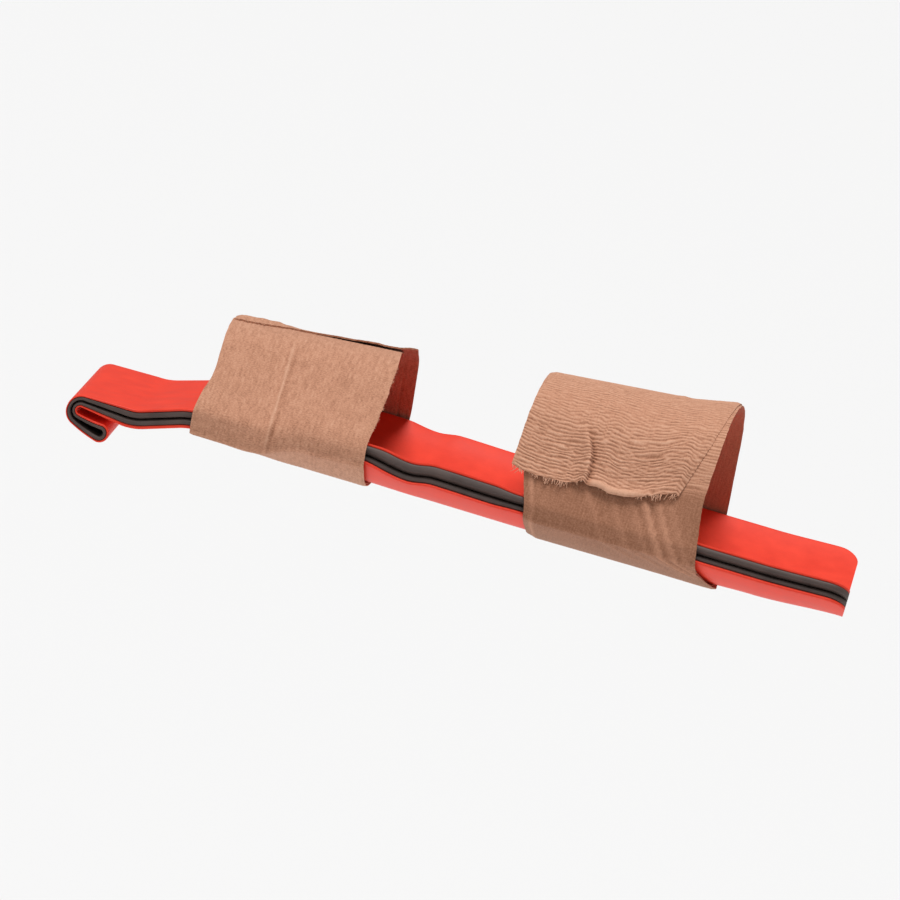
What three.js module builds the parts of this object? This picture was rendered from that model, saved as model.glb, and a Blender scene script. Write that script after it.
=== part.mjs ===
// A foam-padded aluminium splint with two wound bandages, in millimetres.
// One long padded strip is folded double with its grey foam inside. It is curled into a grip at one end,
// is pressed into a shallow trough along the rest, and is held by two wound elastic bandages.
// +X runs along the trough from the grip to the cut end, +Z is up, and the elbow bandage's free end is on the -Y
// side.
// The origin lies on the middle of the trough's inner face, between the two bandages.
import * as THREE from 'three';

// The padded strip
const STRIP_WIDTH = 108;
const RED_FOAM = 1.2;
const METAL_SHEET = 0.4;
const GREY_FOAM = 2.2;
const LAYER_CLEARANCE = 0.2;
const FOLD_GAP = 0.5;
const METAL_INSET = 2.5;
const END_CORNER = 10;

// The line that the folded strip follows
const SEAT_TO_ELBOW_END = 192;
const SEAT_TO_WRIST = 108;
const PALM_LENGTH = 56;
const GRIP_RADIUS = 4.4;
const GRIP_LENGTH = 12.5;
const GRIP_TURN = 175;
const PALM_DROP = 18;
const TROUGH_ANGLE = 32;
const WRIST_RISE = 7.2;
const WRIST_RISE_EASE = 2.4;
const ELBOW_LIFT = 4;
const FOLD_OPENING = 1.2;
const FOLD_SKEW = -3;

// The hollow that the bandages leave open above the strip
const WRIST_TOP = 42;
const WRIST_BREADTH = 58;
const ELBOW_TOP = 70.5;
const ELBOW_BREADTH = 86;

// The bandages
const BANDAGE_WALL = 1;
const WRIST_BANDAGE_CLEARANCE = 1.15;
const ELBOW_BANDAGE_CLEARANCE = 0.4;
const PLY_CLEARANCE = 0.3;
const BANDAGE_TURNS = 2;
const WRIST_BANDAGE_WIDTH = 77.5;
const ELBOW_BANDAGE_WIDTH = 85;

const halfWidth = STRIP_WIDTH / 2;
const toRadians = THREE.MathUtils.degToRad;

// Depths in the strip, measured out from the gap in the middle of the fold
const depth = { grey: GREY_FOAM };
depth.metalIn = depth.grey + LAYER_CLEARANCE;
depth.metalOut = depth.metalIn + METAL_SHEET;
depth.redIn = depth.metalOut + LAYER_CLEARANCE;
depth.redOut = depth.redIn + RED_FOAM;
const layer = FOLD_GAP / 2 + depth.redOut;

// The trough's stretch. 'at' is a share of the distance from the seat to the elbow end or to the wrist, 'lift' is
// a share of that end's rise, and 'trough' a share of the trough's half angle.
const towardElbow = [
  { at: 0, lift: 0, trough: 0.93 },
  { at: 0.16, lift: 0, trough: 0.9 },
  { at: 0.65, lift: 0.2, trough: 0.98 },
  { at: 0.78, lift: 0.4, trough: 0.93 },
  { at: 1, lift: 1, trough: 0.85 },
];
const towardWrist = [
  { at: 0, lift: 0, trough: 0.93 },
  { at: 0.1, lift: 0, trough: 0.82 },
  { at: 0.31, lift: 0, trough: 1.02 },
  { at: 0.54, lift: 0, trough: 0.94 },
  { at: 0.88, lift: 1, trough: 0 },
  { at: 1, lift: 1, trough: 0 },
];

// The grip's stretch, bent like sheet metal. 'length' is in millimetres worked out from the named sizes, 'turn' is
// in degrees with down as minus, 'squash' is the share of the foam's thickness that is left at the stretch's
// end, 'open' a share of the fold's opening and 'skew' of the fold's skew.
const gripBend = 0.93 * GRIP_TURN;
const bendLength = GRIP_RADIUS * toRadians(gripBend);
const handStretches = [
  { length: 0.16 * PALM_LENGTH, turn: -PALM_DROP, squash: 1, open: 0, skew: 0, steps: 2 },
  { length: 0.3 * PALM_LENGTH, turn: 0, squash: 1, open: 0, skew: 0.3, steps: 1 },
  { length: 0.17 * PALM_LENGTH, turn: PALM_DROP + 3, squash: 1, open: 0, skew: 0.6, steps: 3 },
  { length: 0.37 * PALM_LENGTH, turn: 0, squash: 0.62, open: 0, skew: 1, steps: 2 },
  { length: bendLength / 2, turn: -gripBend / 2, squash: 0.5, open: 0, skew: 1, steps: 3 },
  { length: bendLength / 2, turn: -gripBend / 2, squash: 0.58, open: 0.15, skew: 1, steps: 3 },
  { length: GRIP_LENGTH, turn: gripBend - GRIP_TURN, squash: 0.7, open: 1, skew: 1, steps: 2 },
];

// The hollow's section inside the bandages. 'top' and 'breadth' are shares of the way from the wrist's
// size to the elbow's.
const armSections = [
  { at: -1.03 * SEAT_TO_WRIST, top: 0, breadth: 0 },
  { at: -0.32 * SEAT_TO_WRIST, top: 0.23, breadth: 0.3 },
  { at: 0.17 * SEAT_TO_ELBOW_END, top: 0.6, breadth: 0.6 },
  { at: 0.52 * SEAT_TO_ELBOW_END, top: 0.84, breadth: 0.86 },
  { at: 0.63 * SEAT_TO_ELBOW_END, top: 1, breadth: 1 },
];

// A value between the rows of a table, easing in and out of each row or going straight from row to row
const straight = (at, low, high) => (at - low) / (high - low);
function between(rows, at, column, ease = THREE.MathUtils.smoothstep) {
  const above = rows.findIndex((row) => row.at >= at);
  if (above === 0 || above === -1) return rows.at(above)[column];
  const [low, high] = [rows[above - 1], rows[above]];
  return THREE.MathUtils.lerp(low[column], high[column], ease(at, low.at, high.at));
}

// The middle of the fold over one place along the trough: its height and how far the trough curves there. The rise
// to the wrist comes late, as the trough flattens, so that the underside stays straight.
function forearmAt(x) {
  const [rows, at, rise, ease] = x > 0
    ? [towardElbow, x / SEAT_TO_ELBOW_END, ELBOW_LIFT, 1]
    : [towardWrist, -x / SEAT_TO_WRIST, WRIST_RISE, WRIST_RISE_EASE];
  return {
    x,
    z: -layer + rise * between(rows, at, 'lift') ** ease,
    curve: (toRadians(TROUGH_ANGLE) / halfWidth) * between(rows, at, 'trough'),
  };
}

// How far the strip reaches from its middle line, at a distance from its cut end with rounded corners
function reachAt(fromEnd) {
  const into = Math.max(END_CORNER - fromEnd, 0);
  return halfWidth - END_CORNER + Math.sqrt(END_CORNER ** 2 - into ** 2);
}

// Stations along the fold from the elbow end to its closed end in the grip
function followLine() {
  const stations = [];
  const flat = { angle: 0, squash: 1, open: 0, skew: 0 };
  const cornerShares = [0, 0.3, 1];
  for (const share of cornerShares) {
    const fromEnd = share * END_CORNER;
    const place = forearmAt(SEAT_TO_ELBOW_END - fromEnd);
    stations.push({ ...place, ...flat, reach: reachAt(fromEnd) / halfWidth });
  }
  const spans = [
    { from: SEAT_TO_ELBOW_END - END_CORNER, to: 0, steps: 6 },
    { from: 0, to: -0.5 * SEAT_TO_WRIST, steps: 4 },
    { from: -0.5 * SEAT_TO_WRIST, to: -0.9 * SEAT_TO_WRIST, steps: 6 },
    { from: -0.9 * SEAT_TO_WRIST, to: -SEAT_TO_WRIST, steps: 1 },
  ];
  for (const { from, to, steps } of spans) {
    for (let i = 1; i <= steps; i += 1) {
      stations.push({ ...forearmAt(from + ((to - from) * i) / steps), ...flat, reach: 1 });
    }
  }
  for (const stretch of handStretches) {
    const start = stations.at(-1);
    const length = stretch.length / stretch.steps;
    const turn = toRadians(stretch.turn) / stretch.steps;
    const chord = turn ? (length * Math.sin(turn / 2)) / (turn / 2) : length;
    for (let i = 1; i <= stretch.steps; i += 1) {
      const last = stations.at(-1);
      const way = last.angle + turn / 2;
      const step = { ...last, x: last.x - chord * Math.cos(way), z: last.z + chord * Math.sin(way) };
      step.angle = last.angle + turn;
      for (const column of ['squash', 'open', 'skew']) {
        step[column] = THREE.MathUtils.lerp(start[column], stretch[column], i / stretch.steps);
      }
      stations.push(step);
    }
  }
  return stations;
}
const line = followLine();

// A point of the folded strip. 'across' runs from -1 to 1 over its width and 'deep' is the depth from the gap.
// 'side' is 1 on the upper run, -1 on the lower run and between them round the closed end.
function stripPoint(station, side, across, deep) {
  const thickness = (value) => FOLD_GAP / 2 + station.open * FOLD_OPENING + value * station.squash;
  const out = thickness(deep) * Math.sin((side * Math.PI) / 2);
  const ahead = thickness(deep) * Math.cos((side * Math.PI) / 2);
  const width = across * station.reach * halfWidth;
  let [y, rise] = [width, out];
  if (station.curve > 0) {
    const radius = 1 / station.curve;
    const ownRadius = radius - side * thickness(depth.redOut / 2);
    y = (radius - out) * Math.sin(width / ownRadius);
    rise = radius - (radius - out) * Math.cos(width / ownRadius);
  }
  const [sin, cos] = [Math.sin(station.angle), Math.cos(station.angle)];
  const lean = Math.tan(toRadians(FOLD_SKEW * station.skew)) * y;
  return new THREE.Vector3(station.x + rise * sin - ahead * cos + lean, y, station.z + rise * cos + ahead * sin);
}

// The places along the whole strip: out along the upper run, round the closed end and back along the lower run
const FOLD_STEPS = 6;
const wholeStrip = [
  ...line.map((station) => ({ station, side: 1 })),
  ...Array.from({ length: FOLD_STEPS - 1 }, (_, i) => (
    { station: line.at(-1), side: 1 - (2 * (i + 1)) / FOLD_STEPS }
  )),
  ...line.map((station) => ({ station, side: -1 })).reverse(),
];

// A closed slab between two faces, each a grid of points with as many rows and columns as the other
function slab(outer, inner) {
  const [rows, columns] = [outer.length, outer[0].length];
  const positions = [...outer.flat(), ...inner.flat()].flatMap((point) => point.toArray());
  const index = [];
  const at = (face, row, column) => (face * rows + row) * columns + column;
  const quad = (a, b, c, d) => index.push(a, c, b, a, d, c);
  for (let r = 0; r + 1 < rows; r += 1) {
    for (let c = 0; c + 1 < columns; c += 1) {
      quad(at(0, r, c), at(0, r + 1, c), at(0, r + 1, c + 1), at(0, r, c + 1));
      quad(at(1, r, c), at(1, r, c + 1), at(1, r + 1, c + 1), at(1, r + 1, c));
    }
    quad(at(0, r, 0), at(1, r, 0), at(1, r + 1, 0), at(0, r + 1, 0));
    const last = columns - 1;
    quad(at(0, r, last), at(0, r + 1, last), at(1, r + 1, last), at(1, r, last));
  }
  for (let c = 0; c + 1 < columns; c += 1) {
    quad(at(0, 0, c), at(0, 0, c + 1), at(1, 0, c + 1), at(1, 0, c));
    const last = rows - 1;
    quad(at(0, last, c), at(1, last, c), at(1, last, c + 1), at(0, last, c + 1));
  }
  const geometry = new THREE.BufferGeometry();
  geometry.setAttribute('position', new THREE.Float32BufferAttribute(positions, 3));
  geometry.setIndex(index);
  geometry.computeVertexNormals();
  return geometry;
}

// One layer of the strip. Each column is a place across the width with its outer and inner depth.
function stripLayer(columns) {
  const face = (across, deep) => wholeStrip.map(({ station, side }) => (
    columns.map((column) => stripPoint(station, side, column[across], column[deep]))
  ));
  return slab(face('outerAt', 'outer'), face('innerAt', 'inner'));
}

// The same columns on both sides of the middle line
function mirrored(columns) {
  const other = columns.filter((column) => column.outerAt !== 0).map((column) => (
    { ...column, outerAt: -column.outerAt, innerAt: -column.innerAt }
  ));
  return [...other.reverse(), ...columns];
}
const middleColumns = [0, 1 / 3, 2 / 3];
const metalEdge = 1 - METAL_INSET / halfWidth;
const lipEdge = 1 - (METAL_INSET - LAYER_CLEARANCE) / halfWidth;
const lipHalfStep = LAYER_CLEARANCE / halfWidth;

// The red foam's long edges turn in over the metal sheet and meet the grey foam
function redFoam() {
  const lip = depth.grey + LAYER_CLEARANCE;
  return stripLayer(mirrored([
    ...middleColumns.map((at) => ({ outerAt: at, innerAt: at, outer: depth.redOut, inner: depth.redIn })),
    { outerAt: lipEdge - lipHalfStep, innerAt: lipEdge, outer: depth.redOut, inner: depth.redIn },
    { outerAt: lipEdge + lipHalfStep, innerAt: lipEdge, outer: depth.redOut, inner: lip },
    { outerAt: 1, innerAt: 1, outer: depth.redOut, inner: lip },
  ]));
}

function evenLayer(edges, outer, inner) {
  const places = [...middleColumns, ...edges];
  return stripLayer(mirrored(places.map((at) => ({ outerAt: at, innerAt: at, outer, inner }))));
}

// The hollow's section over one place: an ellipse that rests on the trough
function armAt(x) {
  const seat = forearmAt(x).z + layer;
  const [high, broad] = ['top', 'breadth'].map((column) => (
    between(armSections, x, column, straight)
  ));
  const top = THREE.MathUtils.lerp(WRIST_TOP, ELBOW_TOP, high);
  const breadth = THREE.MathUtils.lerp(WRIST_BREADTH, ELBOW_BREADTH, broad);
  return { z: (top + seat) / 2, up: (top - seat) / 2, across: breadth / 2 };
}

// How far an outline reaches in the direction of an angle, for the hollow and for some corners
const armReach = (arm, angle) => (
  arm.z * Math.sin(angle) + Math.hypot(arm.across * Math.cos(angle), arm.up * Math.sin(angle))
);
const cornerReach = (corners, angle) => (
  Math.max(...corners.map(({ y, z }) => y * Math.cos(angle) + z * Math.sin(angle)))
);

// The angle of the straight side that touches both the splint's rim and the hollow's ellipse
function sideAngle(corners, arm) {
  let [low, high] = [0, Math.PI / 2];
  for (let i = 0; i < 40; i += 1) {
    const middle = (low + high) / 2;
    if (cornerReach(corners, middle) > armReach(arm, middle)) low = middle;
    else high = middle;
  }
  return low;
}

// Where two lines meet, each given by its angle and its distance from the middle
function meeting([angle, reach], [nextAngle, nextReach]) {
  const turn = Math.sin(nextAngle - angle);
  return {
    y: (reach * Math.sin(nextAngle) - nextReach * Math.sin(angle)) / turn,
    z: (nextReach * Math.cos(angle) - reach * Math.cos(nextAngle)) / turn,
  };
}

// A ring drawn tight round splint and hollow, a distance off them. It runs from the top down the -Y side,
// under the splint and up the other side.
const CORNER_STEPS = 4;
const SIDE_STEPS = 4;
const TOP_STEPS = 4;
const underColumns = [...middleColumns, lipEdge];
function ring(x, off) {
  const station = { ...forearmAt(x), angle: 0, squash: 1, open: 0, skew: 0, reach: 1 };
  const rim = (side, deep) => stripPoint(station, side, 1, deep);
  const corners = [rim(-1, depth.redOut), rim(1, 0), rim(1, depth.redOut)];
  const arm = armAt(x);
  const side = sideAngle(corners, arm);
  const under = underColumns.map((at) => {
    const bare = stripPoint(station, -1, at, depth.redOut);
    const normal = stripPoint(station, -1, at, depth.redOut + 1).sub(bare);
    return { y: bare.y + normal.y * off, z: bare.z + normal.z * off };
  });
  const edge = stripPoint(station, -1, 1, depth.redOut + 1).sub(corners[0]);
  const first = Math.atan2(edge.z, edge.y);
  const lines = [];
  for (let i = 0; i <= CORNER_STEPS; i += 1) {
    const angle = THREE.MathUtils.lerp(first, side, i / CORNER_STEPS);
    lines.push([angle, cornerReach(corners, angle) + off]);
  }
  for (let i = 1; i <= TOP_STEPS; i += 1) {
    const angle = THREE.MathUtils.lerp(side, Math.PI / 2, i / TOP_STEPS);
    lines.push([angle, armReach(arm, angle) + off]);
  }
  const met = lines.slice(1).map((next, i) => meeting(lines[i], next));
  const [sideFoot, sideHead] = [met[CORNER_STEPS - 1], met[CORNER_STEPS]];
  const along = Array.from({ length: SIDE_STEPS - 1 }, (_, i) => ({
    y: THREE.MathUtils.lerp(sideFoot.y, sideHead.y, (i + 1) / SIDE_STEPS),
    z: THREE.MathUtils.lerp(sideFoot.z, sideHead.z, (i + 1) / SIDE_STEPS),
  }));
  const half = [...under.slice(1), ...met.slice(0, CORNER_STEPS), ...along, ...met.slice(CORNER_STEPS)];
  const thumbSide = half.map(({ y, z }) => ({ y: -y, z })).reverse();
  return [...thumbSide, under[0], ...half];
}
const RING_POINTS = 2 * (underColumns.length - 1 + CORNER_STEPS + SIDE_STEPS - 1 + TOP_STEPS) + 1;
const farTop = RING_POINTS - 1;
const lowThumbSide = TOP_STEPS + SIDE_STEPS - 3;

// Each bandage is one strip wound round splint and hollow, ending in a free end. 'start' is the ring point
// where it begins and ends, 'tilt' how far its turns lean toward the elbow at the bottom, 'lead' how far each
// turn lies beside the one over it, and 'endShift' and 'endLift' move the free end along X and off the turn below.
// 'off' is the clearance under the bandage, wider at the wrist, where the strip changes from trough to flat.
const bandages = [
  {
    name: 'wrist_bandage', left: -1.046 * SEAT_TO_WRIST, width: WRIST_BANDAGE_WIDTH,
    start: farTop, tilt: 1.5, lead: 1, endShift: 5, endLift: 1.2, off: WRIST_BANDAGE_CLEARANCE, stations: 8,
  },
  {
    name: 'elbow_bandage', left: 0.173 * SEAT_TO_ELBOW_END, width: ELBOW_BANDAGE_WIDTH,
    start: lowThumbSide, tilt: 9, lead: 2.5, endShift: -2.5, endLift: 0.8, off: ELBOW_BANDAGE_CLEARANCE, stations: 5,
  },
];

// How far one place of a wound strip lies off its first turn: it climbs over each earlier turn near its start
const CLIMB_STEPS = 2;
const plyPitch = BANDAGE_WALL + PLY_CLEARANCE;
function windingOffset(step) {
  const past = step % RING_POINTS;
  const climbed = THREE.MathUtils.clamp((past - RING_POINTS + CLIMB_STEPS) / CLIMB_STEPS, 0, 1);
  return plyPitch * (Math.floor(step / RING_POINTS) + climbed);
}

// A bandage: a strip of even width wound round splint and hollow
const FREE_STEPS = 3;
function bandage({ left, width, start, tilt, lead, endShift, endLift, off, stations }) {
  const steps = RING_POINTS * BANDAGE_TURNS;
  const face = (high) => Array.from({ length: steps + 1 }, (_, step) => {
    const point = (start + step) % RING_POINTS;
    const low = ((1 - Math.cos((2 * Math.PI * (point + 0.5)) / RING_POINTS)) / 2) ** 2;
    const free = THREE.MathUtils.smoothstep(step, steps - FREE_STEPS, steps);
    const edge = left + tilt * low + lead * (1 - step / steps) * BANDAGE_TURNS + endShift * free;
    const distance = off + windingOffset(step) + high + (step === steps ? endLift : 0);
    return Array.from({ length: stations + 1 }, (__, i) => {
      const x = edge + (width * i) / stations;
      const { y, z } = ring(x, distance)[point];
      return new THREE.Vector3(x, y, z);
    });
  });
  return slab(face(0), face(BANDAGE_WALL));
}

// Materials
const redFoamMaterial = new THREE.MeshStandardMaterial({ color: 0xd9503c, roughness: 0.6, metalness: 0 });
const greyFoamMaterial = new THREE.MeshStandardMaterial({ color: 0x55504e, roughness: 0.75, metalness: 0 });
const metalMaterial = new THREE.MeshStandardMaterial({ color: 0xb9bcc0, roughness: 0.35, metalness: 1 });
const bandageMaterial = new THREE.MeshStandardMaterial({ color: 0xc4967a, roughness: 0.95, metalness: 0 });

function addPiece(group, name, geometry, material) {
  const mesh = new THREE.Mesh(geometry, material);
  mesh.name = name;
  group.add(mesh);
}

const splint = new THREE.Group();
addPiece(splint, 'red_foam', redFoam(), redFoamMaterial);
addPiece(splint, 'aluminium_core', evenLayer([metalEdge], depth.metalOut, depth.metalIn), metalMaterial);
addPiece(splint, 'grey_foam', evenLayer([lipEdge, 1], depth.grey, 0), greyFoamMaterial);
for (const row of bandages) addPiece(splint, row.name, bandage(row), bandageMaterial);

export default splint;
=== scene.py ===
"""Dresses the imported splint: foam strip, metal sheet and wound crepe bandages, then camera, light and floor.

Lengths are in millimetres until a mesh is made, and the frame is the CAD model's: +X from the grip to the cut
elbow end, +Z up, and -Y the side on which the elbow bandage's free end lies.
"""

import math

import bpy
import numpy as np
from mathutils import Matrix


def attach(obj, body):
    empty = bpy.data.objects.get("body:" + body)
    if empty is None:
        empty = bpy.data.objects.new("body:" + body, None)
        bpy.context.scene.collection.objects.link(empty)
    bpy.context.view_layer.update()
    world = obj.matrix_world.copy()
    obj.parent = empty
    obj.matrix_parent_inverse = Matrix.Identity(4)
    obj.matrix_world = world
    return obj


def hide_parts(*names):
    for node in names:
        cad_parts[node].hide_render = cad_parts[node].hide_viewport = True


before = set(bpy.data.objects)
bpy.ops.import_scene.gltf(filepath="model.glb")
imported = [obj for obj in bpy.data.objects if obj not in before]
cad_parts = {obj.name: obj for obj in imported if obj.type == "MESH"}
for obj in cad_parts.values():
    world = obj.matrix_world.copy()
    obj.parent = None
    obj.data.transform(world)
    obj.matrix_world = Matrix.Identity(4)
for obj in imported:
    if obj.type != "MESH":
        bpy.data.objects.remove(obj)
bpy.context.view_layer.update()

MM = 0.001
TAU = 2 * math.pi

# ---------------------------------------------------------------- the strip's sizes, as in the CAD model
HALF_WIDTH = 54.0
# Depths in the strip, measured out from the gap in the middle of the fold
GREY, METAL_IN, METAL_OUT, RED_IN, RED_OUT = 2.2, 2.4, 2.8, 3.0, 4.2
FOLD_GAP = 0.5
METAL_INSET = 2.5
END_CORNER = 10.0
LAYER = FOLD_GAP / 2 + RED_OUT
ELBOW_END = 192.0
WRIST = 108.0
PALM = 56.0
GRIP_RADIUS, GRIP_LENGTH, GRIP_TURN = 4.4, 12.5, 175.0
PALM_DROP = 18.0
TROUGH = math.radians(32)
WRIST_RISE, WRIST_RISE_EASE, ELBOW_LIFT = 7.2, 2.4, 4.0
FOLD_OPENING, FOLD_SKEW = 1.2, math.radians(-3)
WRIST_TOP, WRIST_BREADTH = 42.0, 58.0
ELBOW_TOP, ELBOW_BREADTH = 70.5, 86.0

# Share of the way from the seat to the end, then the shares of its lift and of the trough's half angle
TOWARD_ELBOW = np.array([(0, 0, 0.93), (0.16, 0, 0.9), (0.65, 0.2, 0.98), (0.78, 0.4, 0.93), (1, 1, 0.85)])
TOWARD_WRIST = np.array([
    (0, 0, 0.93), (0.1, 0, 0.82), (0.31, 0, 1.02), (0.54, 0, 0.94), (0.88, 1, 0), (1, 1, 0),
])
# The hollow inside the bandages: x, then how far its top and breadth are from the wrist's to the elbow's
HOLLOW = np.array([
    (-1.03 * WRIST, 0, 0), (-0.32 * WRIST, 0.23, 0.3), (0.17 * ELBOW_END, 0.6, 0.6),
    (0.52 * ELBOW_END, 0.84, 0.86), (0.63 * ELBOW_END, 1, 1),
])
GRIP_BEND = 0.93 * GRIP_TURN
BEND_LENGTH = GRIP_RADIUS * math.radians(GRIP_BEND)
# The stretches from the wrist to the closed end: length, turn, squash, open, skew, steps
GRIP_STRETCHES = [
    (0.16 * PALM, -PALM_DROP, 1, 0, 0, 8),
    (0.3 * PALM, 0, 1, 0, 0.3, 8),
    (0.17 * PALM, PALM_DROP + 3, 1, 0, 0.6, 10),
    (0.37 * PALM, 0, 0.62, 0, 1, 12),
    (BEND_LENGTH / 2, -GRIP_BEND / 2, 0.5, 0, 1, 16),
    (BEND_LENGTH / 2, -GRIP_BEND / 2, 0.58, 0.15, 1, 16),
    (GRIP_LENGTH, GRIP_BEND - GRIP_TURN, 0.7, 1, 1, 14),
]
STATION_STEP = 2.5
CORNER_STATIONS = 9
# A section that curves less than this, per mm, is flat
FLAT_CURVE = 1e-6


# ---------------------------------------------------------------- steps, spans and noise
def smooth(low, high, value):
    """0 below low, 1 above high and an eased step between them."""
    t = np.clip((np.asarray(value, float) - low) / (high - low), 0, 1)
    return t * t * (3 - 2 * t)


def falling(low, high, value):
    """1 below low, 0 above high and an eased step between them."""
    return 1 - smooth(low, high, value)


def within(span, value):
    """1 inside a span and 0 outside. A span is where the rise starts and ends, then where the fall does."""
    return smooth(span[0], span[1], value) * falling(span[2], span[3], value)


def bump_line(value, width):
    """A rounded bump of height 1 where the value is 0."""
    return np.exp(-(value / width) ** 2)


def eased(table, at, column):
    """A table's column, easing in and out of each row."""
    at = np.clip(np.asarray(at, float), 0, 1)
    i = np.clip(np.searchsorted(table[:, 0], at, side="left"), 1, len(table) - 1)
    share = smooth(table[i - 1, 0], table[i, 0], at)
    return table[i - 1, column] + (table[i, column] - table[i - 1, column]) * share


def rounded(rows, at, blur):
    """Straight lines between the rows of a table, with the corners rounded over 'blur' to each side."""
    table = np.array(rows, float)
    return sum(np.interp(at + blur * k / 4, table[:, 0], table[:, 1]) for k in range(-4, 5)) / 9


def noise(u, v, seed):
    """Smooth noise between -1 and 1 with one swing for about every two units of u and v."""
    cells = 64
    grid = np.random.RandomState(seed).uniform(-1, 1, (cells, cells))
    u, v = np.broadcast_arrays(np.asarray(u, float), np.asarray(v, float))
    i, j = np.floor(u).astype(int), np.floor(v).astype(int)
    a, b = smooth(0, 1, u - i), smooth(0, 1, v - j)

    def at(p, q):
        return grid[p % cells, q % cells]

    low = at(i, j) * (1 - a) + at(i + 1, j) * a
    high = at(i, j + 1) * (1 - a) + at(i + 1, j + 1) * a
    return low * (1 - b) + high * b


def ripple(along, length, seed, row=0.5):
    """Noise along one direction, with swings about 'length' long."""
    return noise(along / length, row, seed)


def unit(vectors):
    """Vectors at length 1."""
    return vectors / np.maximum(np.linalg.norm(vectors, axis=-1, keepdims=True), 1e-9)


# ---------------------------------------------------------------- the folded strip's line and section
def trough_at(x):
    """Height of the fold's middle and the trough's curve over places along the trough."""
    x = np.asarray(x, float)
    up, down = x / ELBOW_END, -x / WRIST
    lift = np.where(x > 0, ELBOW_LIFT * eased(TOWARD_ELBOW, up, 1),
                    WRIST_RISE * eased(TOWARD_WRIST, down, 1) ** WRIST_RISE_EASE)
    share = np.where(x > 0, eased(TOWARD_ELBOW, up, 2), eased(TOWARD_WRIST, down, 2))
    return -LAYER + lift, TROUGH / HALF_WIDTH * share


def strip_stations():
    """x, z, angle, squash, open, skew, curve and reach of the stations from elbow end to closed end."""
    corner = END_CORNER * (1 - np.cos(np.linspace(0, math.pi / 2, CORNER_STATIONS)))
    middle = np.arange(ELBOW_END - END_CORNER - STATION_STEP, -WRIST, -STATION_STEP)
    xs = np.concatenate([ELBOW_END - corner, middle, [-WRIST]])
    z, curve = trough_at(xs)
    into_corner = np.maximum(END_CORNER - (ELBOW_END - xs), 0)
    rounding = np.sqrt(np.maximum(END_CORNER ** 2 - into_corner ** 2, 0))
    reach = (HALF_WIDTH - END_CORNER + rounding) / HALF_WIDTH
    rows = [[x, h, 0, 1, 0, 0, c, r] for x, h, c, r in zip(xs, z, curve, reach)]
    for length, turn, squash, opened, skew, steps in GRIP_STRETCHES:
        first = rows[-1]
        bit, bend = length / steps, math.radians(turn) / steps
        chord = bit * math.sin(bend / 2) / (bend / 2) if bend else bit
        for i in range(1, steps + 1):
            last = rows[-1]
            way = last[2] + bend / 2
            ends = [a + (b - a) * i / steps for a, b in zip(first[3:6], (squash, opened, skew))]
            rows.append([last[0] - chord * math.cos(way), last[1] + chord * math.sin(way), last[2] + bend,
                         *ends, 0.0, 1.0])
    return np.array(rows)


def strip_points(stations, side, across, deep):
    """Points of the folded strip, for arrays that broadcast together. A station's values are on the last
    axis, and 'side' is 1 on the upper run, -1 on the lower run and between them round the closed end."""
    x, z, angle, squash, opened, skew, curve, reach = np.moveaxis(np.asarray(stations), -1, 0)
    base = FOLD_GAP / 2 + opened * FOLD_OPENING
    thick = base + deep * squash
    out, ahead = thick * np.sin(side * math.pi / 2), thick * np.cos(side * math.pi / 2)
    width = across * reach
    radius = 1 / np.maximum(curve, FLAT_CURVE)
    own = radius - side * (base + RED_OUT / 2 * squash)
    bent = curve > FLAT_CURVE
    y = np.where(bent, (radius - out) * np.sin(width / own), width)
    rise = np.where(bent, radius - (radius - out) * np.cos(width / own), out)
    lean = np.tan(FOLD_SKEW * skew) * y
    sin, cos = np.sin(angle), np.cos(angle)
    return np.stack(np.broadcast_arrays(
        x + rise * sin - ahead * cos + lean, y, z + rise * cos + ahead * sin), axis=-1)


# ---------------------------------------------------------------- meshes
def add_object(name, data):
    """An object in the scene."""
    thing = bpy.data.objects.new(name, data)
    bpy.context.scene.collection.objects.link(thing)
    return thing


def make_piece(name, points, faces, material, nodes, smooth_angle=40, uv=None, shade=None):
    """A mesh object from points in millimetres, riding on the part and standing for CAD nodes."""
    mesh = bpy.data.meshes.new(name)
    mesh.from_pydata((np.asarray(points) * MM).tolist(), [], faces)
    mesh.update()
    if uv is not None:
        layer = mesh.uv_layers.new(name="weave")
        corners = np.zeros(len(mesh.loops), int)
        mesh.loops.foreach_get("vertex_index", corners)
        layer.data.foreach_set("uv", np.asarray(uv, float)[corners].ravel())
    if shade is not None:
        colour = mesh.color_attributes.new(name="relief_and_shade", type="FLOAT_COLOR", domain="POINT")
        shade = np.asarray(shade, float)
        colour.data.foreach_set("color", np.stack([shade, shade, shade, np.ones_like(shade)], 1).ravel())
    mesh.shade_smooth()
    mesh.set_sharp_from_angle(angle=math.radians(smooth_angle))
    mesh.materials.append(material)
    piece = add_object(name, mesh)
    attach(piece, "root")
    if nodes:
        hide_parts(*nodes)
    return piece


def tube_faces(rows, columns):
    """Faces of a loop of points swept along rows, closed at both ends."""
    r, c = np.meshgrid(np.arange(rows - 1), np.arange(columns), indexing="ij")
    here, after = r * columns + c, r * columns + (c + 1) % columns
    quads = np.stack([here, after, after + columns, here + columns], -1)
    last = (rows - 1) * columns
    return quads.reshape(-1, 4).tolist() + [list(range(columns))[::-1], list(range(last, last + columns))]


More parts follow.
